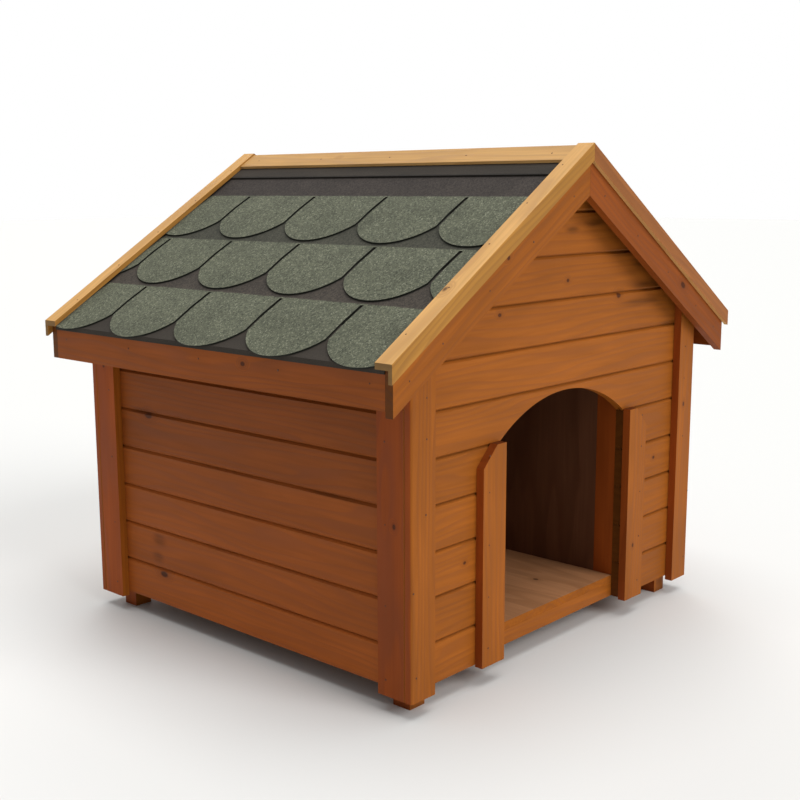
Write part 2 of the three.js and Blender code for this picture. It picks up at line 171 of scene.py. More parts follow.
def knot_marks(tree, inside):
    """Shares of knot, of its paler heart and of the halo where the rings swing round, each 0 to 1."""
    core = add(tree, "ShaderNodeMapRange", {"interpolation_type": "SMOOTHSTEP"},
               {"Value": inside, "From Min": 0.55, "From Max": 1.30, "To Min": 1.0, "To Max": 0.0})
    heart = add(tree, "ShaderNodeMapRange", {"interpolation_type": "SMOOTHSTEP"},
                {"Value": inside, "From Min": 0.2, "From Max": 0.8, "To Min": 0.12, "To Max": 0.0})
    halo = add(tree, "ShaderNodeMapRange", {"interpolation_type": "SMOOTHSTEP"},
               {"Value": inside, "From Min": 0.8, "From Max": 3.6, "To Min": 1.0, "To Max": 0.0})
    return core.outputs[0], heart.outputs[0], halo.outputs[0]


# %% [markdown]
# ### Year rings and fibres
# The noise counts how many rings the saw has passed, and its fraction says how far through a year's growth
# a point is: pale from spring on, darker towards the autumn, then a quick jump back. Halos bend the count,
# and the lines bend with it. The real rings are 2 to 4 mm apart. They are drawn about twice as coarse,
# because finer ones would melt into one tone at this distance.

# %% Ring lines and fibre streaks
RING = 0.007                      # from one dark line to the next
RING_LEAN = 0.45                  # share of the lines that run straight, the rest are loops
RING_LOOPS = 7.0                  # how many rings the noise swings through
RING_SWERVE = 2.5                 # how many rings a knot pushes aside
RING_STRETCH = (1.6, 9.0, 13.0)   # swells per metre along the board, across it and through it
FIBRE_STRETCH = (7.0, 150.0, 150.0)
PATCH_STRETCH = (3.5, 14.0, 18.0)


def year_rings(tree, spot, halo):
    """1 on a ring's dark line, 0 between the lines."""
    stretched = add(tree, "ShaderNodeVectorMath", {"operation": "MULTIPLY"}, {0: spot, 1: RING_STRETCH})
    swell = add(tree, "ShaderNodeTexNoise", {"noise_dimensions": "3D"},
                {"Vector": stretched.outputs[0], "Scale": 1.0, "Detail": 2.0, "Roughness": 0.45})
    rise = add(tree, "ShaderNodeMath", {"operation": "MULTIPLY"}, {0: swell.outputs[0], 1: RING_LOOPS})
    axes = add(tree, "ShaderNodeSeparateXYZ", {}, {0: spot}).outputs
    steady = add(tree, "ShaderNodeMath", {"operation": "DIVIDE"}, {0: axes["Z"], 1: RING})
    bend = add(tree, "ShaderNodeMath", {"operation": "MULTIPLY_ADD"},
               {0: halo, 1: RING_SWERVE, 2: rise.outputs[0]})
    level = add(tree, "ShaderNodeMath", {"operation": "MULTIPLY_ADD"},
                {0: steady.outputs[0], 1: RING_LEAN, 2: bend.outputs[0]})
    phase = add(tree, "ShaderNodeMath", {"operation": "FRACT"}, {0: level.outputs[0]})
    ring = add(tree, "ShaderNodeMapRange", {"interpolation_type": "SMOOTHERSTEP"},
               {"Value": phase.outputs[0], "From Min": 0.25, "From Max": 0.90,
                "To Min": 0.0, "To Max": 1.0})
    fall = add(tree, "ShaderNodeMapRange", {},
               {"Value": phase.outputs[0], "From Min": 0.90, "From Max": 1.0,
                "To Min": 1.0, "To Max": 0.0})
    return add(tree, "ShaderNodeMath", {"operation": "MINIMUM"},
               {0: ring.outputs[0], 1: fall.outputs[0]}).outputs[0]


def streaks(tree, spot, stretch):
    """A noise drawn out along the board by stretch."""
    drawn = add(tree, "ShaderNodeVectorMath", {"operation": "MULTIPLY"}, {0: spot, 1: stretch})
    return add(tree, "ShaderNodeTexNoise", {},
               {"Vector": drawn.outputs[0], "Scale": 1.0, "Detail": 3.0}).outputs[0]


# %% [markdown]
# ### How light or dark the stain lies, with painted light and shade
# Stain is thin, so a board shows where it took more or less of it: slow patches, fine streaks, and a
# difference from board to board. It pools beside a joint, end grain drinks it, and planing smudges hold
# grime; those just under the front gable's right bargeboard are partly its painted shadow. The side
# boards get painted shade towards the eaves and painted bounce light towards the ground. Feet are darker
# at the very bottom.

# %% Shares of light, multiplied together
POOL_REACH = (0.0005, 0.0032)     # from a joint's middle to where the pooled stain ends, in metres
SHADE_HEIGHTS = (0.08, 0.56)            # heights between which the painted bounce light turns into painted shade
BOUNCE_LIT, EAVE_SHADE = 1.36, 0.84     # painted light at those heights: bounce light low down, shade under the eaves
BOTTOM_DIM_REACH = (0.002, 0.012)       # heights over which a foot goes from darker to its own tone
BOTTOM_DIM = 0.75
END_GRAIN = 0.38


def stain_light(tree, spot, fibre, luck):
    """Patches, boards and streaks, round about 1."""
    patch = streaks(tree, spot, PATCH_STRETCH)
    tone = add(tree, "ShaderNodeMapRange", {},
               {"Value": patch, "From Min": 0.25, "From Max": 0.75, "To Min": 0.87, "To Max": 1.13})
    shade = add(tree, "ShaderNodeMapRange", {},
                {"Value": luck.outputs["Value"], "To Min": 0.93, "To Max": 1.06})
    streak = add(tree, "ShaderNodeMapRange", {},
                 {"Value": fibre, "From Min": 0.2, "From Max": 0.8, "To Min": 0.86, "To Max": 1.14})
    both = add(tree, "ShaderNodeMath", {"operation": "MULTIPLY"}, {0: tone.outputs[0], 1: shade.outputs[0]})
    return add(tree, "ShaderNodeMath", {"operation": "MULTIPLY"},
               {0: both.outputs[0], 1: streak.outputs[0]}).outputs[0]


def smudge_and_shade_light(tree, off_smudge, fibre):
    """A smudge is streaky: it holds more grime between the fibres. Some are partly painted shadow."""
    cover = add(tree, "ShaderNodeMapRange", {"interpolation_type": "SMOOTHSTEP"},
                {"Value": off_smudge, "From Min": 0.15, "From Max": 1.1, "To Min": 1.0, "To Max": 0.0})
    torn = add(tree, "ShaderNodeMapRange", {},
               {"Value": fibre, "From Min": 0.35, "From Max": 0.65, "To Min": 0.22, "To Max": 0.55})
    dirt = add(tree, "ShaderNodeMath", {"operation": "MULTIPLY"}, {0: cover.outputs[0], 1: torn.outputs[0]})
    return add(tree, "ShaderNodeMath", {"operation": "SUBTRACT"}, {0: 1.0, 1: dirt.outputs[0]}).outputs[0]


def end_grain_light(tree, facing, turn):
    """Dark on faces that look along the grain."""
    looks = add(tree, "ShaderNodeMapping", {"vector_type": "POINT"}, {"Vector": facing, "Rotation": turn})
    cut = add(tree, "ShaderNodeSeparateXYZ", {}, {0: looks.outputs[0]}).outputs["X"]
    square = add(tree, "ShaderNodeMath", {"operation": "ABSOLUTE"}, {0: cut})
    return add(tree, "ShaderNodeMapRange", {"interpolation_type": "SMOOTHSTEP"},
               {"Value": square.outputs[0], "From Min": 0.60, "From Max": 0.85,
                "To Min": 1.0, "To Max": END_GRAIN}).outputs[0]


def joint_light(tree, up, least):
    """Down to least beside each joint, where the stain pools."""
    course = add(tree, "ShaderNodeMath", {"operation": "SUBTRACT"}, {0: up, 1: FIRST_JOINT})
    near = add(tree, "ShaderNodeMath", {"operation": "PINGPONG"}, {0: course.outputs[0], 1: BOARD / 2})
    return add(tree, "ShaderNodeMapRange", {},
               {"Value": near.outputs[0], "From Min": POOL_REACH[0], "From Max": POOL_REACH[1],
                "To Min": least, "To Max": 1.0}).outputs[0]


# Painted light by height: brighter low down as bounce light from the floor, painted shade towards the eaves.
def eave_shade_and_bounce_light(tree, up):
    return add(tree, "ShaderNodeMapRange", {},
               {"Value": up, "From Min": SHADE_HEIGHTS[0], "From Max": SHADE_HEIGHTS[1],
                "To Min": BOUNCE_LIT, "To Max": EAVE_SHADE}).outputs[0]


# Darker at the very bottom of the feet.
def bottom_dim_light(tree, up):
    return add(tree, "ShaderNodeMapRange", {"interpolation_type": "SMOOTHSTEP"},
               {"Value": up, "From Min": BOTTOM_DIM_REACH[0], "From Max": BOTTOM_DIM_REACH[1],
                "To Min": BOTTOM_DIM, "To Max": 1.0}).outputs[0]


# %% [markdown]
# ### One recipe for all pine
# Every timber finish is this recipe with its own grain direction, tints and knots. A planed and stained
# board has a satin skin, a little smoother on the hard ring lines than on the soft wood between them. In
# a Mix node of colours, sockets 6 and 7 are its two colours and output 2 is the blend.

# %% The recipe
SATIN = (0.50, 0.62)              # roughness on the ring lines and between them
PLANED = (0.70, 0.85)
NO_POOL = 1.0
BOARD_SLIDE = (9.0, 0.0, 1.7)     # how far the pattern slides from board to board, in metres


def pine(name, turn, number, tints, knots=(), smudges_and_shade=(), face_tints=None, rough=SATIN, joints=NO_POOL,
         eave_shaded=False, feet=False):
    """A pine finish. turn brings the grain along X, number(tree, place) tells one board from the next, tints
    are early wood, late wood and knot, and face_tints the same on the faces that look forward or back."""
    material = bpy.data.materials.new(name)
    material.use_nodes = True
    tree = material.node_tree
    tree.nodes.clear()
    seen = add(tree, "ShaderNodeTexCoord")
    place, facing = seen.outputs["Object"], seen.outputs["Normal"]
    turned = add(tree, "ShaderNodeMapping", {"vector_type": "POINT"},
                 {"Vector": place, "Rotation": turn}).outputs[0]
    luck = add(tree, "ShaderNodeTexWhiteNoise", {"noise_dimensions": "1D"}, {"W": number(tree, place)})
    slide = add(tree, "ShaderNodeVectorMath", {"operation": "MULTIPLY"},
                {0: luck.outputs["Color"], 1: BOARD_SLIDE})
    spot = add(tree, "ShaderNodeVectorMath", {"operation": "ADD"},
               {0: turned, 1: slide.outputs[0]}).outputs[0]
    core, heart, halo = knot_marks(tree, nearest(tree, turned, turn, knots))
    line = year_rings(tree, spot, halo)
    fibre = streaks(tree, spot, FIBRE_STRETCH)
    # how light or dark the stain lies, with its painted shade and light
    up = add(tree, "ShaderNodeSeparateXYZ", {}, {0: place}).outputs["Z"]
    drunk = end_grain_light(tree, facing, turn)
    early, late, knot = (linear(t) for t in tints)
    if face_tints:
        look = add(tree, "ShaderNodeSeparateXYZ", {}, {0: facing}).outputs["Y"]
        flat = add(tree, "ShaderNodeMath", {"operation": "ABSOLUTE"}, {0: look}).outputs[0]
        front = add(tree, "ShaderNodeMapRange", {},
                    {"Value": flat, "From Min": 0.45, "From Max": 0.55}).outputs[0]
        early, late, knot = (add(tree, "ShaderNodeMix", {"data_type": "RGBA"},
                                 {"Factor": front, 6: own, 7: linear(t)}).outputs[2]
                             for own, t in zip((early, late, knot), face_tints))
        drunk = add(tree, "ShaderNodeMath", {"operation": "MAXIMUM"}, {0: drunk, 1: front}).outputs[0]
    shares = [drunk]
    if smudges_and_shade:
        shares.append(smudge_and_shade_light(tree, nearest(tree, turned, turn, smudges_and_shade), fibre))
    if joints < NO_POOL:
        shares.append(joint_light(tree, up, joints))
    if eave_shaded:
        shares.append(eave_shade_and_bounce_light(tree, up))
    if feet:
        shares.append(bottom_dim_light(tree, up))
    light = stain_light(tree, spot, fibre, luck)
    for share in shares:
        light = add(tree, "ShaderNodeMath", {"operation": "MULTIPLY"}, {0: light, 1: share}).outputs[0]
    # colour: ring lines in the wood, then the stain's light, then the knots
    strength = add(tree, "ShaderNodeMapRange", {},
                   {"Value": fibre, "From Min": 0.3, "From Max": 0.7, "To Min": 0.15, "To Max": 0.52})
    depth = add(tree, "ShaderNodeMath", {"operation": "MULTIPLY"}, {0: line, 1: strength.outputs[0]})
    wood = add(tree, "ShaderNodeMix", {"data_type": "RGBA"},
               {"Factor": depth.outputs[0], 6: early, 7: late})
    toned = add(tree, "ShaderNodeVectorMath", {"operation": "SCALE"}, {0: wood.outputs[2], "Scale": light})
    haze = add(tree, "ShaderNodeMath", {"operation": "MULTIPLY"}, {0: halo, 1: 0.35})
    around = add(tree, "ShaderNodeMix", {"data_type": "RGBA"},
                 {"Factor": haze.outputs[0], 6: toned.outputs[0], 7: late})
    eye = add(tree, "ShaderNodeMix", {"data_type": "RGBA"}, {"Factor": heart, 6: knot, 7: early})
    colour = add(tree, "ShaderNodeMix", {"data_type": "RGBA"},
                 {"Factor": core, 6: around.outputs[2], 7: eye.outputs[2]})
    # skin
    gloss = add(tree, "ShaderNodeMapRange", {}, {"Value": line, "To Min": rough[1], "To Max": rough[0]})
    relief = add(tree, "ShaderNodeMath", {"operation": "MULTIPLY_ADD"}, {0: line, 1: 0.6, 2: fibre})
    bump = add(tree, "ShaderNodeBump", {},
               {"Height": relief.outputs[0], "Strength": 0.28, "Distance": 0.0005})
    skin = add(tree, "ShaderNodeBsdfPrincipled", {},
               {"Base Color": colour.outputs[2], "Roughness": gloss.outputs[0], "Normal": bump.outputs[0],
                "IOR": 1.48, "Specular IOR Level": 0.16})
    add(tree, "ShaderNodeOutputMaterial", {}, {"Surface": skin.outputs[0]})
    return material


print("pine recipe ready, rings", RING, "m apart")

# %% [markdown]
# ## Telling the boards apart
# Neighbouring boards come from different trees. Each finish therefore works out a number for the board
# that a point lies on, from where the point is, and the recipe slides its pattern by that number. The
# limits all lie in joints or between pieces, so that no board changes its grain halfway along.

# %% Board numbers from places
BESIDE_DOOR = 4                   # boards above the lowest joint that are cut short by the doorway
DOORWAY_X = 0.1                   # anywhere between the two cut ends
TRIM_INNER_X = 0.35               # between the door trims and the corner trims
EAVES_Z = 0.7                     # between the fascias and the ridge boards


def count_of(tree, tests):
    """Adds up the worth of each test that a point passes: (value, limit, worth)."""
    total = 0.0
    for value, limit, worth in tests:
        passed = add(tree, "ShaderNodeMath", {"operation": "GREATER_THAN"}, {0: value, 1: limit})
        total = add(tree, "ShaderNodeMath", {"operation": "MULTIPLY_ADD"},
                    {0: passed.outputs[0], 1: worth, 2: total}).outputs[0]
    return total


def course_of(tree, axes):
    """0 for the lowest board of a wall, 1 for the next one, and so on."""
    raised = add(tree, "ShaderNodeMath", {"operation": "SUBTRACT"}, {0: axes["Z"], 1: FIRST_JOINT - BOARD})
    row = add(tree, "ShaderNodeMath", {"operation": "DIVIDE"}, {0: raised.outputs[0], 1: BOARD})
    return add(tree, "ShaderNodeMath", {"operation": "FLOOR"}, {0: row.outputs[0]}).outputs[0]


def gable_number(tree, place):
    axes = add(tree, "ShaderNodeSeparateXYZ", {}, {0: place}).outputs
    beside = add(tree, "ShaderNodeMath", {"operation": "LESS_THAN"},
                 {0: axes["Z"], 1: FIRST_JOINT + BESIDE_DOOR * BOARD})
    right = add(tree, "ShaderNodeMath", {"operation": "MULTIPLY"}, {0: beside.outputs[0], 1: axes["X"]})
    side = count_of(tree, [(right.outputs[0], DOORWAY_X, 20.0), (axes["Y"], 0.0, 40.0)])
    return add(tree, "ShaderNodeMath", {"operation": "ADD"}, {0: course_of(tree, axes), 1: side}).outputs[0]


def side_number(tree, place):
    axes = add(tree, "ShaderNodeSeparateXYZ", {}, {0: place}).outputs
    side = count_of(tree, [(axes["X"], 0.0, 60.0)])
    return add(tree, "ShaderNodeMath", {"operation": "ADD"}, {0: course_of(tree, axes), 1: side}).outputs[0]


def upright_number(tree, place):
    axes = add(tree, "ShaderNodeSeparateXYZ", {}, {0: place}).outputs
    across = add(tree, "ShaderNodeMath", {"operation": "ABSOLUTE"}, {0: axes["X"]})
    back = add(tree, "ShaderNodeMath", {"operation": "ABSOLUTE"}, {0: axes["Y"]})
    return count_of(tree, [(axes["X"], 0.0, 1.0), (axes["Y"], 0.0, 2.0),
                           (across.outputs[0], TRIM_INNER_X, 4.0), (back.outputs[0], WALL_Y, 8.0)])


def left_or_right(tree, place):
    axes = add(tree, "ShaderNodeSeparateXYZ", {}, {0: place}).outputs
    return count_of(tree, [(axes["X"], 0.0, 5.0), (axes["Z"], EAVES_Z, 3.0)])


def front_or_rear(tree, place):
    axes = add(tree, "ShaderNodeSeparateXYZ", {}, {0: place}).outputs
    return count_of(tree, [(axes["Y"], 0.0, 7.0)])


# %% [markdown]
# ## The timber finishes
# Everything outside has one coat of a translucent honey-brown stain, so the grain still shows through. The
# side walls, fascias and the sides of the posts and trims get a darker, redder copy of it as painted shade.
# The mouldings of the roof's edges took far less of it, and their tops are paler still: partly their own
# tone, partly painted sheen. The floor inside is bare wood, and only its front edge had a lick of the stain.

# %% Timber finishes
ALONG_X = (0.0, 0.0, 0.0)
ALONG_Y = (0.0, 0.0, -math.pi / 2)
UPRIGHT = (0.0, math.pi / 2, 0.0)
LEFT_SLOPE = (0.0, PITCH, 0.0)
RIGHT_SLOPE = (0.0, -PITCH, 0.0)
HONEY = ("#9A5618", "#7C4212", "#4A230E")
# RUSSET: a darker, redder copy of HONEY, painted shade on the side walls and fascias; the right bargeboards
# use it too
RUSSET = ("#8C4817", "#703611", "#43200D")
# darker, redder tints painted as shade on the sides of the posts and trims
TRIM_SIDE_SHADE = ("#954614", "#773511", "#43200D")
PALE = ("#BD9259", "#9A6E3C", "#5A3A22")
# paler tints of the mouldings' tops: partly their own tone, partly painted sheen
PALE_TOP_AND_SHEEN = ("#CC9D60", "#A67741", "#5A3A22")
PALE_EDGE = ("#985F33", "#784522", "#4E3018")
YELLOW_EDGE = ("#A87635", "#805427", "#4E3018")
# dark stain, darkened further as painted shade for the dim inside of the house
DARK_STAIN_AND_SHADE = ("#67402A", "#4A2A1A", "#1E0E08")
BARE = ("#A2714C", "#825431", "#4E3220")
POOLED_FRONT, POOLED_SIDE = 0.72, 0.88      # light beside the joints of the gables and of the side walls

finishes = {
    "gable": pine("pine_boards_honey_stain_gable", ALONG_X, gable_number, HONEY, KNOTS_FRONT, SMUDGES_AND_SHADOW_FRONT,
                  joints=POOLED_FRONT),
    "side": pine("pine_boards_honey_stain_painted_shade_side", ALONG_Y, side_number, RUSSET, KNOTS_SIDE, SMUDGES_SIDE,
                 joints=POOLED_SIDE, eave_shaded=True),
    # posts and trims: honey stain on the faces that look forward or back, the darker tints as painted shade
    # elsewhere
    "upright": pine("pine_posts_honey_stain_painted_shade_sides", UPRIGHT, upright_number, TRIM_SIDE_SHADE, KNOTS_UPRIGHT,
                    face_tints=HONEY, feet=True),
    "fascia": pine("pine_fascia_honey_stain_painted_shade", ALONG_Y, left_or_right, RUSSET, KNOTS_LEVEL),
    "rail": pine("pine_rail_honey_stain", ALONG_X, front_or_rear, HONEY),
    "left": pine("pine_bargeboard_honey_stain_left", LEFT_SLOPE, front_or_rear, HONEY, KNOTS_SLOPE),
    "right": pine("pine_bargeboard_russet_stain_right", RIGHT_SLOPE, front_or_rear, RUSSET, KNOTS_SLOPE),
    "cap_left": pine("pine_moulding_pale_sheen_left", LEFT_SLOPE, front_or_rear, PALE_TOP_AND_SHEEN, KNOTS_SLOPE,
                     face_tints=YELLOW_EDGE),
    "cap_right": pine("pine_moulding_pale_sheen_right", RIGHT_SLOPE, front_or_rear, PALE_TOP_AND_SHEEN, KNOTS_SLOPE,
                      face_tints=PALE_EDGE),
    "ridge": pine("pine_moulding_pale_stain_ridge", ALONG_Y, left_or_right, PALE, KNOTS_LEVEL),
    "inside": pine("pine_screen_dark_stain_painted_shade", UPRIGHT, upright_number, DARK_STAIN_AND_SHADE),
    "floor": pine("pine_floor_bare", ALONG_Y, front_or_rear, BARE, KNOTS_LEVEL, face_tints=HONEY,
                  rough=PLANED),
    "deck": pine("pine_deck_bare", ALONG_Y, left_or_right, BARE, rough=PLANED),
}
print("timber finishes", len(finishes))

# %% [markdown]
# ## Shingles and felt
# A shingle is a strip of bitumen felt with crushed slate pressed into it. Each granule is a chip 1 to 2 mm
# wide with its own grey-green, which a Voronoi pattern gives cell by cell. The head of each strip, which
# the row above covers, has dark granules only, and it shows in the corners between the rounded tabs. Each
# row's head has its own dark tint. Where a strip was cut, its edge is bare black bitumen, and painted shade
# darkens the step below it.

# %% Granules and felt
GRAIN = 0.0024                    # granules, drawn coarser than the real 1.5 mm so that they show
SLATE = ("#3B3E32", "#4E5143", "#5F614F", "#7C7E6B")
CUT_BITUMEN = "#1A1C16"
SHADE_REACH = 0.016               # how far the painted shade reaches out from a step
TAB_START = (0.003, 0.006)        # from a slot's top to where the grey-green starts and is full
EDGE_WANDER = 0.006               # how far that line strays
CREASE_WAVE = 0.012               # how far the felt's crease and its painted shadow wander
CREASE_LEAN = 0.009               # takes out that wander's mean


def down_slope(tree, place):
    """Metres down the slope from the deck's apex, the same on both sides."""
    axes = add(tree, "ShaderNodeSeparateXYZ", {}, {0: place}).outputs
    out = add(tree, "ShaderNodeMath", {"operation": "ABSOLUTE"}, {0: axes["X"]})
    run = add(tree, "ShaderNodeMath", {"operation": "MULTIPLY"}, {0: out.outputs[0], 1: math.cos(PITCH)})
    drop = add(tree, "ShaderNodeMath", {"operation": "SUBTRACT"}, {0: DECK_APEX, 1: axes["Z"]})
    down = add(tree, "ShaderNodeMath", {"operation": "MULTIPLY_ADD"},
               {0: drop.outputs[0], 1: math.sin(PITCH), 2: run.outputs[0]})
    wander = add(tree, "ShaderNodeTexNoise", {}, {"Vector": place, "Scale": 60.0, "Detail": 4.0})
    return add(tree, "ShaderNodeMath", {"operation": "MULTIPLY_ADD"},
               {0: wander.outputs[0], 1: EDGE_WANDER, 2: down.outputs[0]}).outputs[0]


def granules(name, slot_top, head):
    """Slate granules, grey-green below slot_top (metres down the slope from the ridge) and in head's tints
    above it."""
    material = bpy.data.materials.new(name)
    material.use_nodes = True
    tree = material.node_tree
    tree.nodes.clear()
    seen = add(tree, "ShaderNodeTexCoord")
    place = seen.outputs["Object"]
    chips = add(tree, "ShaderNodeTexVoronoi", {"feature": "F1"}, {"Vector": place, "Scale": 1 / GRAIN})
    luck = add(tree, "ShaderNodeSeparateColor", {}, {0: chips.outputs["Color"]})
    slate = add(tree, "ShaderNodeValToRGB", {}, {0: luck.outputs[0]})
    stops = slate.color_ramp.elements
    stops[0].color, stops[1].color = linear(SLATE[0]), linear(SLATE[3])
    for at, tint in ((0.2, SLATE[1]), (0.8, SLATE[2])):
        stops.new(at).color = linear(tint)
    dark = add(tree, "ShaderNodeValToRGB", {}, {0: luck.outputs[0]})
    dark.color_ramp.elements[0].color = linear(head[0])
    dark.color_ramp.elements[1].color = linear(head[1])
    tab = add(tree, "ShaderNodeMapRange", {},
              {"Value": down_slope(tree, place), "From Min": slot_top + TAB_START[0],
               "From Max": slot_top + TAB_START[1]})
    mixed = add(tree, "ShaderNodeMix", {"data_type": "RGBA"},
                {"Factor": tab.outputs[0], 6: dark.outputs[0], 7: slate.outputs[0]})
    patch = add(tree, "ShaderNodeTexNoise", {},
                {"Vector": place, "Scale": 14.0, "Detail": 6.0, "Roughness": 0.65})
    tone = add(tree, "ShaderNodeMapRange", {}, {"Value": patch.outputs[0], "From Min": 0.3, "From Max": 0.7,
                                                "To Min": 0.84, "To Max": 1.16})
    # painted shade: Ambient Occlusion darkens the granules in steps and corners, as under each tab's edge
    reach = add(tree, "ShaderNodeAmbientOcclusion", {"samples": 6}, {"Distance": SHADE_REACH})
    painted_shade = add(tree, "ShaderNodeMapRange", {},
                {"Value": reach.outputs["AO"], "From Min": 0.50, "From Max": 0.96,
                 "To Min": 0.40, "To Max": 1.0})
    tone_and_shade = add(tree, "ShaderNodeMath", {"operation": "MULTIPLY"}, {0: tone.outputs[0], 1: painted_shade.outputs[0]})
    colour = add(tree, "ShaderNodeVectorMath", {"operation": "SCALE"},
                 {0: mixed.outputs[2], "Scale": tone_and_shade.outputs[0]})
    # the cut edge: where the surface looks neither up the slope's normal nor near it
    look = add(tree, "ShaderNodeSeparateXYZ", {}, {0: seen.outputs["Normal"]}).outputs
    out = add(tree, "ShaderNodeMath", {"operation": "ABSOLUTE"}, {0: look["X"]})
    lean = add(tree, "ShaderNodeMath", {"operation": "MULTIPLY"}, {0: out.outputs[0], 1: math.sin(PITCH)})
    flat = add(tree, "ShaderNodeMath", {"operation": "MULTIPLY_ADD"},
               {0: look["Z"], 1: math.cos(PITCH), 2: lean.outputs[0]})
    face = add(tree, "ShaderNodeMapRange", {}, {"Value": flat.outputs[0], "From Min": 0.7, "From Max": 0.9})
    edged = add(tree, "ShaderNodeMix", {"data_type": "RGBA"},
                {"Factor": face.outputs[0], 6: linear(CUT_BITUMEN), 7: colour.outputs[0]})
    bump = add(tree, "ShaderNodeBump", {"invert": True},
               {"Height": chips.outputs["Distance"], "Strength": 0.35, "Distance": 0.0007})
    skin = add(tree, "ShaderNodeBsdfPrincipled", {},
               {"Base Color": edged.outputs[2], "Roughness": 0.9, "Normal": bump.outputs[0],
                "Specular IOR Level": 0.3})
    add(tree, "ShaderNodeOutputMaterial", {}, {"Surface": skin.outputs[0]})
    return material


def felt(name, light, dark, crease):
    """Sanded felt. crease is how far down the slope its edge is pressed on; a painted shadow lies along it.
    """
    material = bpy.data.materials.new(name)
    material.use_nodes = True
    tree = material.node_tree
    tree.nodes.clear()
    place = add(tree, "ShaderNodeTexCoord").outputs["Object"]
    sand = add(tree, "ShaderNodeTexNoise", {}, {"Vector": place, "Scale": 500.0, "Detail": 2.0})
    long = add(tree, "ShaderNodeVectorMath", {"operation": "MULTIPLY"}, {0: place, 1: (30.0, 4.0, 30.0)})
    cloud = add(tree, "ShaderNodeTexNoise", {}, {"Vector": long.outputs[0], "Scale": 1.0, "Detail": 4.0})
    blend = add(tree, "ShaderNodeMath", {"operation": "MULTIPLY"},
                {0: sand.outputs[0], 1: cloud.outputs[0]})
    share = add(tree, "ShaderNodeMapRange", {},
                {"Value": blend.outputs[0], "From Min": 0.14, "From Max": 0.36})
    colour = add(tree, "ShaderNodeMix", {"data_type": "RGBA"},
                 {"Factor": share.outputs[0], 6: linear(dark), 7: linear(light)})
    ripple = add(tree, "ShaderNodeTexNoise", {},
                 {"Vector": place, "Scale": 9.0, "Detail": 4.0, "Roughness": 0.7})
    wave = add(tree, "ShaderNodeMath", {"operation": "MULTIPLY_ADD"},
               {0: ripple.outputs[0], 1: CREASE_WAVE, 2: down_slope(tree, place)})
    away = add(tree, "ShaderNodeMath", {"operation": "SUBTRACT"},
               {0: wave.outputs[0], 1: crease + CREASE_LEAN})
    near = add(tree, "ShaderNodeMath", {"operation": "ABSOLUTE"}, {0: away.outputs[0]})
    # painted shadow along the felt's crease, darkest next to it
    crease_shadow = add(tree, "ShaderNodeMapRange", {"interpolation_type": "SMOOTHSTEP"},
               {"Value": near.outputs[0], "From Min": 0.001, "From Max": 0.007, "To Min": 0.42,
                "To Max": 1.0})
    toned = add(tree, "ShaderNodeVectorMath", {"operation": "SCALE"},
                {0: colour.outputs[2], "Scale": crease_shadow.outputs[0]})
    bump = add(tree, "ShaderNodeBump", {}, {"Height": sand.outputs[0], "Strength": 0.4, "Distance": 0.0006})
    skin = add(tree, "ShaderNodeBsdfPrincipled", {},
               {"Base Color": toned.outputs[0], "Roughness": 0.85, "Normal": bump.outputs[0],
                "Specular IOR Level": 0.3})
    add(tree, "ShaderNodeOutputMaterial", {}, {"Surface": skin.outputs[0]})
    return material


print("granules", GRAIN, "m wide")

# %% Lay the finishes of the three rows and the felt
TAB = 0.155                       # length of a tab, from its slot's top to its tip
SLOT_CLEAR = 0.006                # how far above the slot's top the heads' tints end
HEADS = {1: ("#2C2724", "#433C37"), 2: ("#303028", "#49483D"), 3: ("#312C27", "#4A433B")}
for row, head in HEADS.items():
    low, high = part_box(f"shingle_strip_left_{row}")
    tip = -low.x * math.cos(PITCH) + (DECK_APEX - low.z) * math.sin(PITCH)
    finishes[f"row_{row}"] = granules(f"slate_granules_row_{row}", tip - TAB - SLOT_CLEAR, head)
    print("row", row, "tip", round(tip, 4))
FELT_EDGE = 0.078                 # how far down the slope the felt over the ridge reaches
finishes["felt"] = felt("bitumen_felt_sanded", "#3A332B", "#2C2721", FELT_EDGE)
print("finishes", len(finishes))

# %% [markdown]
# ## Dressing the boards
# A finish belongs to a family of pieces, and the pieces' names say which family they are in.

# %% Give each piece its finish
FAMILIES = (
    ("roof_underlay", "felt"), ("ridge_felt", "felt"), ("roof_deck", "deck"), ("floor_panel", "floor"),
    ("floor_rail", "rail"), ("fascia", "fascia"), ("ridge_board", "ridge"), ("draught_screen", "inside"),
    ("door", "upright"), ("corner", "upright"), ("left_wall", "side"), ("right_wall", "side"),
    ("rear_wall", "gable"), ("front", "gable"), ("gable", "gable"),
)


def finish_for(name):
    if name.startswith("shingle_strip"):
        return f"row_{name[-1]}"
    if name.startswith("edge_cap"):
        return "cap_" + name.rsplit("_", 1)[1]
    if name.startswith("bargeboard"):
        return name.rsplit("_", 1)[1]
    return next(finish for start, finish in FAMILIES if name.startswith(start))


for name, piece in nodes.items():
    piece.data.materials.clear()
    piece.data.materials.append(finishes[finish_for(name)])
print("dressed", len(nodes))

# %% [markdown]
# ## Nails
# The trims, bargeboards and mouldings are fastened with small steel nails, whose heads sit just proud of
# the wood and have dulled. They are all alike and only their places differ, which is a job for Geometry
# Nodes: one head is set on each point of a list, turned to face the way that point's arrow says.

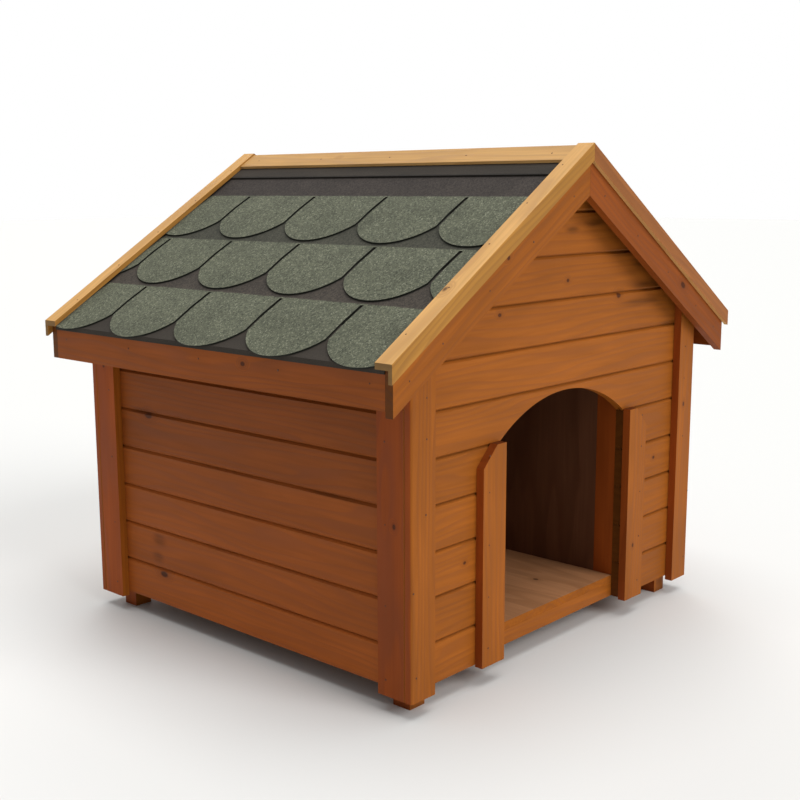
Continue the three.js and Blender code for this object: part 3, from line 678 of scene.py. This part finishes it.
# %% Where the nails are
UP, LEFT, RIGHT, FORE, AFT = (0, 0, 1), (-1, 0, 0), (1, 0, 0), (0, -1, 0), (0, 1, 0)
LEFT_UP = (-math.sin(PITCH), 0, math.cos(PITCH))
RIGHT_UP = (math.sin(PITCH), 0, math.cos(PITCH))
TRIM_NAILS = ((0.075, 0.012), (0.223, 0.005), (0.350, 0.036), (0.476, 0.038), (0.544, 0.038), (0.640, 0.012))
TRIM_SIDE_NAILS = (0.060, 0.190, 0.330, 0.470, 0.610)
TRIM_SIDE_Y = 0.385
DOOR_NAILS = (0.070, 0.165, 0.260, 0.355, 0.420)
DOOR_X = 0.252
house_nails = []
for z, inset in TRIM_NAILS:       # height, and how far in from the corner
    for x, aside in ((-TRIM_X, 1), (TRIM_X, -1)):
        house_nails.append(((x + aside * inset, -TRIM_Y, z), FORE))
        house_nails.append(((x + aside * inset, TRIM_Y, z), AFT))
for z in TRIM_SIDE_NAILS:
    for y in (-TRIM_SIDE_Y, TRIM_SIDE_Y):
        house_nails.append(((-TRIM_X, y, z), LEFT))
        house_nails.append(((TRIM_X, y, z), RIGHT))
for z in DOOR_NAILS:
    house_nails.append(((-DOOR_X, -TRIM_Y, z), FORE))
    house_nails.append(((DOOR_X, -TRIM_Y, z), FORE))
floor_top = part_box("floor_panel")[1].z
FLOOR_NAILS_X = (-0.34, -0.24, 0.24, 0.34)
RAIL_Y = 0.387                    # middle of the rails that the floor is nailed to
for x in FLOOR_NAILS_X:
    house_nails.append(((x, -RAIL_Y, floor_top), UP))
    house_nails.append(((x, RAIL_Y, floor_top), UP))
print("nails in the house", len(house_nails))

# %% Where the roof's nails are
FASCIA_NAILS_Y = (-0.42, -0.21, 0.0, 0.21, 0.42)
FASCIA_NAILS_Z = 0.578
BARGE_NAILS_X = (0.05, 0.17, 0.29, 0.41, 0.49)
BARGE_DROP = 0.052                # from a bargeboard's top edge to its nails, plumb
CAP_NAILS_X = (0.062, 0.166, 0.270, 0.374, 0.478)
CAP_NAILS_Y = 0.451
RIDGE_NAILS_Y = (-0.40, -0.20, 0.0, 0.20, 0.40)
RIDGE_NAILS_X = 0.022
roof_nails = []
fascia_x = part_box("fascia_right")[1].x
for y in FASCIA_NAILS_Y:
    roof_nails.append(((-fascia_x, y, FASCIA_NAILS_Z), LEFT))
    roof_nails.append(((fascia_x, y, FASCIA_NAILS_Z), RIGHT))
barge_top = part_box("bargeboard_front_left")[1].z
for x in BARGE_NAILS_X:
    z = barge_top - x * math.tan(PITCH) - BARGE_DROP
    for side in (-1, 1):
        roof_nails.append(((side * x, -BARGE_Y, z), FORE))
        roof_nails.append(((side * x, BARGE_Y, z), AFT))
cap_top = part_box("edge_cap_front_left")[1].z
for x in CAP_NAILS_X:
    z = cap_top - x * math.tan(PITCH)
    for y in (-CAP_NAILS_Y, CAP_NAILS_Y):
        roof_nails.append(((-x, y, z), LEFT_UP))
        roof_nails.append(((x, y, z), RIGHT_UP))
ridge_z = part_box("ridge_board_left")[1].z - RIDGE_NAILS_X * math.tan(PITCH)
for y in RIDGE_NAILS_Y:
    roof_nails.append(((-RIDGE_NAILS_X, y, ridge_z), LEFT_UP))
    roof_nails.append(((RIDGE_NAILS_X, y, ridge_z), RIGHT_UP))
print("nails in the roof", len(roof_nails))

# %% [markdown]
# ### Nail steel
# Nails are drawn from mild steel wire and their heads are struck flat. Out of doors they lose their shine
# in weeks: a dull grey-brown bloom with rust coming through, and only part of the metal's gloss.

# %% Steel that has dulled
steel = bpy.data.materials.new("steel_nail_heads_dulled")
steel.use_nodes = True
tree = steel.node_tree
tree.nodes.clear()
place = add(tree, "ShaderNodeTexCoord").outputs["Object"]
bloom = add(tree, "ShaderNodeTexNoise", {}, {"Vector": place, "Scale": 900.0, "Detail": 2.0})
share = add(tree, "ShaderNodeMapRange", {}, {"Value": bloom.outputs[0], "From Min": 0.35, "From Max": 0.65})
colour = add(tree, "ShaderNodeMix", {"data_type": "RGBA"},
             {"Factor": share.outputs[0], 6: linear("#5A4A40"), 7: linear("#6E3A1E")})
gloss = add(tree, "ShaderNodeMapRange", {}, {"Value": bloom.outputs[0], "To Min": 0.45, "To Max": 0.75})
skin = add(tree, "ShaderNodeBsdfPrincipled", {},
           {"Base Color": colour.outputs[2], "Roughness": gloss.outputs[0], "Metallic": 0.7})
add(tree, "ShaderNodeOutputMaterial", {}, {"Surface": skin.outputs[0]})
print("steel", steel.name)

# %% [markdown]
# ### One head on every point
# The head is a squashed ball with few faces, half sunk in the wood. Each is a little larger or smaller
# than the next, by a random value with a fixed seed. Realize Instances makes them real geometry, and the
# result is taken as a plain mesh, one for the house and one for the roof, so that each moves with its own.

# %% One head on every point
HEAD_WIDTH, HEAD_RISE = 0.0036, 0.0011
HEAD_SEGMENTS, HEAD_RINGS = 10, 5
SMALLEST, LARGEST = 0.85, 1.15    # scales of a head
heads = bpy.data.node_groups.new("nail_heads", "GeometryNodeTree")
heads.is_modifier = True
sockets = {}
for label, direction, kind in (("Points", "INPUT", "Geometry"), ("Head width", "INPUT", "Float"),
                               ("Head rise", "INPUT", "Float"), ("Seed", "INPUT", "Int"),
                               ("Finish", "INPUT", "Material"), ("Nails", "OUTPUT", "Geometry")):
    sockets[label] = heads.interface.new_socket(label, in_out=direction, socket_type=f"NodeSocket{kind}")
given = add(heads, "NodeGroupInput").outputs
ball = add(heads, "GeometryNodeMeshUVSphere", {},
           {"Segments": HEAD_SEGMENTS, "Rings": HEAD_RINGS, "Radius": 0.5})
size = add(heads, "ShaderNodeCombineXYZ", {},
           {"X": given["Head width"], "Y": given["Head width"], "Z": given["Head rise"]})
head = add(heads, "GeometryNodeTransform", {}, {"Geometry": ball.outputs["Mesh"], "Scale": size.outputs[0]})
arrow = add(heads, "GeometryNodeInputNamedAttribute", {"data_type": "FLOAT_VECTOR"}, {"Name": "facing"})
aim = add(heads, "FunctionNodeAlignRotationToVector", {"axis": "Z"}, {"Vector": arrow.outputs["Attribute"]})
grow = add(heads, "FunctionNodeRandomValue", {"data_type": "FLOAT"}, {"Seed": given["Seed"]})
grow.inputs[2].default_value = SMALLEST
grow.inputs[3].default_value = LARGEST
placed = add(heads, "GeometryNodeInstanceOnPoints", {},
             {"Points": given["Points"], "Instance": head.outputs[0],
              "Rotation": aim.outputs[0], "Scale": grow.outputs[1]})
solid = add(heads, "GeometryNodeRealizeInstances", {}, {"Geometry": placed.outputs[0]})
smooth = add(heads, "GeometryNodeSetShadeSmooth", {}, {"Geometry": solid.outputs[0]})
coated = add(heads, "GeometryNodeSetMaterial", {},
             {"Geometry": smooth.outputs[0], "Material": given["Finish"]})
add(heads, "NodeGroupOutput", {}, {"Nails": coated.outputs[0]})
print("nail heads", HEAD_WIDTH, "m wide, inputs", list(sockets))


# %% Drive the nails
def drive_nails(name, nails, body, seed):
    """Puts a head on each nail's place and hands the plain mesh over to that body."""
    points = bpy.data.meshes.new(name + "_points")
    points.from_pydata([place for place, arrow in nails], [], [])
    facing = points.attributes.new("facing", "FLOAT_VECTOR", "POINT")
    facing.data.foreach_set("vector", [v for place, arrow in nails for v in arrow])
    marks = bpy.data.objects.new(name + "_marks", points)
    bpy.context.scene.collection.objects.link(marks)
    hammer = marks.modifiers.new("nail_heads", "NODES")
    hammer.node_group = heads
    for label, value in (("Head width", HEAD_WIDTH), ("Head rise", HEAD_RISE), ("Seed", seed),
                         ("Finish", steel)):
        hammer[sockets[label].identifier] = value
    bpy.context.view_layer.update()
    ready = marks.evaluated_get(bpy.context.evaluated_depsgraph_get())
    solid_heads = bpy.data.meshes.new_from_object(ready)
    solid_heads.materials.pop(index=0)          # the empty slot that the list of points came with
    piece = bpy.data.objects.new(name, solid_heads)
    bpy.data.objects.remove(marks)
    bpy.context.scene.collection.objects.link(piece)
    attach(piece, body)
    print(name, len(nails), "heads", len(solid_heads.polygons), "faces",
          [m.name for m in solid_heads.materials],
          {f.material_index for f in solid_heads.polygons})
    return piece


drive_nails("house_nails", house_nails, "house", 3)
drive_nails("roof_nails", roof_nails, "roof", 8)

# %% [markdown]
# ## The studio
# The house stands on a plain pale floor. Light falls softly from high up, more weakly from in front, and
# least from behind, so that each face of the house keeps its own tone. A camera ray that passes the floor
# meets a brighter world than the one that fills the shadows.

# %% Floor and lights
FLOOR_SIZE = 60                   # metres, so that its far edge is hardly seen
bpy.ops.mesh.primitive_plane_add(size=FLOOR_SIZE)
ground = bpy.context.object
ground.name = "studio_floor"
paper = bpy.data.materials.new("studio_floor_paper")
paper.use_nodes = True
paper.node_tree.nodes["Principled BSDF"].inputs["Base Color"].default_value = linear("#D8D8D6")
paper.node_tree.nodes["Principled BSDF"].inputs["Roughness"].default_value = 0.9
ground.data.materials.append(paper)


LAMP_DISTANCE = 4                 # metres. A sun lights the same from anywhere


def sun(name, towards, strength, softness):
    """A wide soft light. towards points from the house to the light, softness is its width in degrees."""
    light = bpy.data.lights.new(name, "SUN")
    light.energy = strength
    light.angle = math.radians(softness)
    lamp = bpy.data.objects.new(name, light)
    bpy.context.scene.collection.objects.link(lamp)
    lamp.location = Vector(towards) * LAMP_DISTANCE
    lamp.rotation_euler = Vector(towards).to_track_quat("Z", "Y").to_euler()
    return lamp


sun("softbox_front", (0.06, -0.83, 0.55), 1.60, 35)
sun("softbox_top", (0.05, 0.0, 1.0), 2.3, 50)
sun("softbox_rear", (0.60, 0.70, 0.45), 0.7, 35)

sky = bpy.data.worlds.new("studio_air")
bpy.context.scene.world = sky
sky.use_nodes = True
air = sky.node_tree
air.nodes.clear()
WHITE = (1.0, 1.0, 1.0, 1.0)
fill = add(air, "ShaderNodeBackground", {}, {"Color": WHITE, "Strength": 0.33})
wall = add(air, "ShaderNodeBackground", {}, {"Color": WHITE, "Strength": 1.0})
path = add(air, "ShaderNodeLightPath")
backdrop = add(air, "ShaderNodeMixShader", {},
               {0: path.outputs["Is Camera Ray"], 1: fill.outputs[0], 2: wall.outputs[0]})
add(air, "ShaderNodeOutputWorld", {}, {"Surface": backdrop.outputs[0]})

# %% [markdown]
# ## The camera
# Its place, angles and lens were worked out from the lines of the boards and the corners in the photograph.

# %% Camera
LENS, SENSOR = 53.71, 36.0        # millimetres
STAND = (-1.8491, -1.6761, 0.8751)
YAW, DIP, ROLL = 47.92, -10.05, -0.17       # degrees
eye = bpy.data.cameras.new("camera")
eye.lens = LENS
eye.sensor_width = SENSOR
camera = bpy.data.objects.new("camera", eye)
bpy.context.scene.collection.objects.link(camera)
yaw, dip, roll = math.radians(YAW), math.radians(DIP), math.radians(ROLL)
forward = Vector((math.sin(yaw) * math.cos(dip), math.cos(yaw) * math.cos(dip), math.sin(dip)))
camera.location = STAND
level = forward.to_track_quat("-Z", "Y").to_matrix()
camera.rotation_euler = (level @ Matrix.Rotation(roll, 3, "Z")).to_euler()
bpy.context.scene.camera = camera
bpy.context.scene.view_settings.view_transform = "Standard"
print("camera", [round(v, 3) for v in camera.location])
